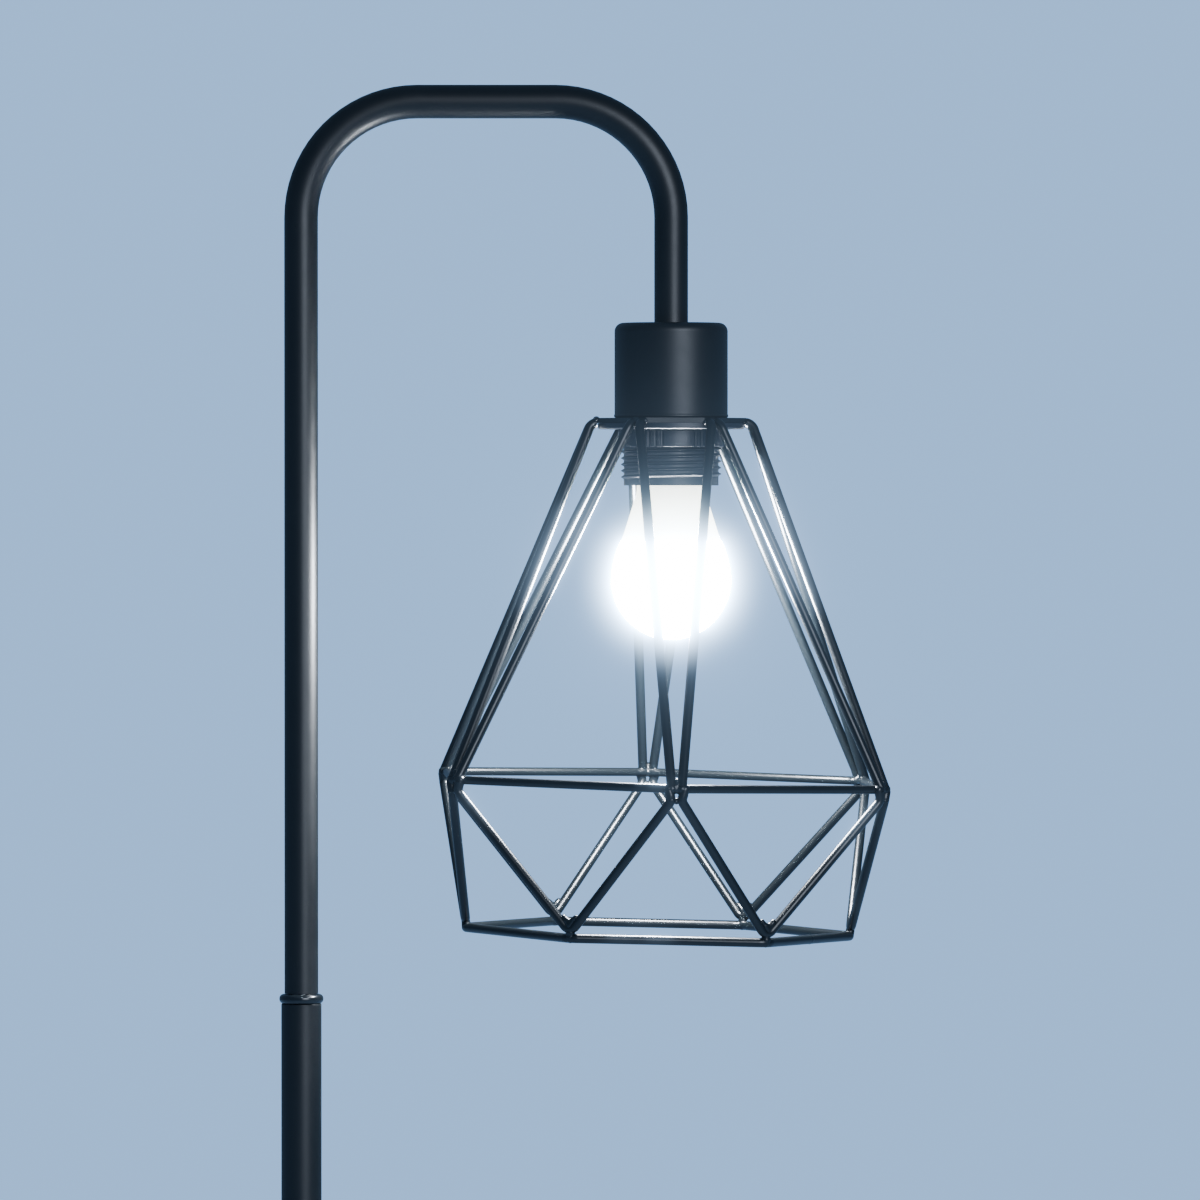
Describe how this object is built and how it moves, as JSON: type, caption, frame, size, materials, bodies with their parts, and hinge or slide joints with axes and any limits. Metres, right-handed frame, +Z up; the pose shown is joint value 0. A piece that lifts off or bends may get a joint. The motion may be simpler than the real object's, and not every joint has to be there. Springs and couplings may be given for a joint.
{
  "type": "wire cage floor lamp",
  "caption": "Black floor lamp: round base, straight pole, arch arm that swivels on it, and a hanging cage of welded wire round a globe bulb in a screw holder.",
  "frame": {"origin": "on the floor under the middle of the base pad, on the pole's axis", "axes": "+Z up along the pole, +X from the pole towards the cup and cage, +Y away from the picture's camera"},
  "size_m": [0.358, 0.25, 1.5001],
  "materials": {
    "satin_powder_coat": "satin powder coat",
    "gloss_black_paint": "gloss paint",
    "cage_powder_coat": "satin powder coat on wire",
    "holder_plastic": "moulded",
    "ceramic": "unglazed",
    "zinc_steel": "zinc plated",
    "turned_steel": "turned",
    "brass": "stamped",
    "nickel_plate": "nickel plated",
    "foam": "closed-cell foam",
    "gland_plastic": "moulded",
    "lead_sheath": "extruded",
    "core_insulation": "extruded",
    "solder": "soldered",
    "black_glass": "moulded",
    "bulb_plastic": "moulded",
    "opal_plastic": "frosted",
    "white_board": "printed board",
    "green_board": "printed board"
  },
  "bodies": {
    "stand": {"base_plate": "satin_powder_coat", "base_pad": "foam", "foot_screw": "zinc_steel", "foot_washer": "zinc_steel", "foot_bush": "turned_steel", "cord_gland": "gland_plastic", "pole_lower": "satin_powder_coat", "pole_middle": "satin_powder_coat", "pole_upper": "satin_powder_coat", "pole_sockets": "turned_steel", "pole_studs": "turned_steel", "coupling_bead": "gloss_black_paint", "swivel_stud": "turned_steel", "swivel_collar": "turned_steel", "pole_lead": "lead_sheath"},
    "arch": {"swivel_bush": "brass", "arch_tube": "satin_powder_coat", "head_stud": "turned_steel", "arch_lead": "lead_sheath", "lamp_cup": "satin_powder_coat", "cup_nut": "zinc_steel", "holder_cap": "holder_plastic", "lock_screw": "zinc_steel", "holder_body": "holder_plastic", "holder_core": "ceramic", "screw_shell": "nickel_plate", "centre_contact": "brass", "side_contact": "brass", "terminals": "brass", "terminal_screws": "zinc_steel", "lead_cores": "core_insulation"},
    "cage": {"cage_plate": "cage_powder_coat", "cage_middle_hoop": "cage_powder_coat", "cage_lower_hoop": "cage_powder_coat", "cage_upright_01": "cage_powder_coat", "cage_upright_02": "cage_powder_coat", "cage_upright_03": "cage_powder_coat", "cage_upright_04": "cage_powder_coat", "cage_upright_05": "cage_powder_coat", "cage_upright_06": "cage_powder_coat", "cage_upright_07": "cage_powder_coat", "cage_upright_08": "cage_powder_coat", "cage_upright_09": "cage_powder_coat", "cage_upright_10": "cage_powder_coat", "cage_upright_11": "cage_powder_coat", "cage_upright_12": "cage_powder_coat", "cage_vee_1": "cage_powder_coat", "cage_vee_2": "cage_powder_coat", "cage_vee_3": "cage_powder_coat", "cage_vee_4": "cage_powder_coat", "cage_vee_5": "cage_powder_coat", "cage_vee_6": "cage_powder_coat"},
    "ring": {"shade_ring": "holder_plastic"},
    "bulb": {"bulb_tip": "solder", "bulb_glass_bead": "black_glass", "bulb_cap": "nickel_plate", "bulb_housing": "bulb_plastic", "bulb_globe": "opal_plastic", "led_board": "white_board", "driver_board": "green_board"}
  },
  "joints": [
    {"name": "arch_swivel", "type": "hinge", "parent": "stand", "child": "arch", "pos_m": [0, 0, 1.135], "axis": [0, 0, 1], "range_deg": [-158, 158]},
    {"name": "cage_drop", "type": "slide", "parent": "arch", "child": "cage", "axis": [0, 0, -1], "range_m": [0, 0.021]},
    {"name": "ring_turn", "type": "hinge", "parent": "cage", "child": "ring", "pos_m": [0.147, 0, 1.36], "axis": [0, 0, -1], "range_deg": [0, 3026]},
    {"name": "bulb_out", "type": "slide", "parent": "arch", "child": "bulb", "axis": [0, 0, -1], "range_m": [0, 0.027]}
  ],
  "couplings": [
    {"joint": "ring_turn", "follows": "cage_drop", "rad_per_m": 2513.3}
  ]
}
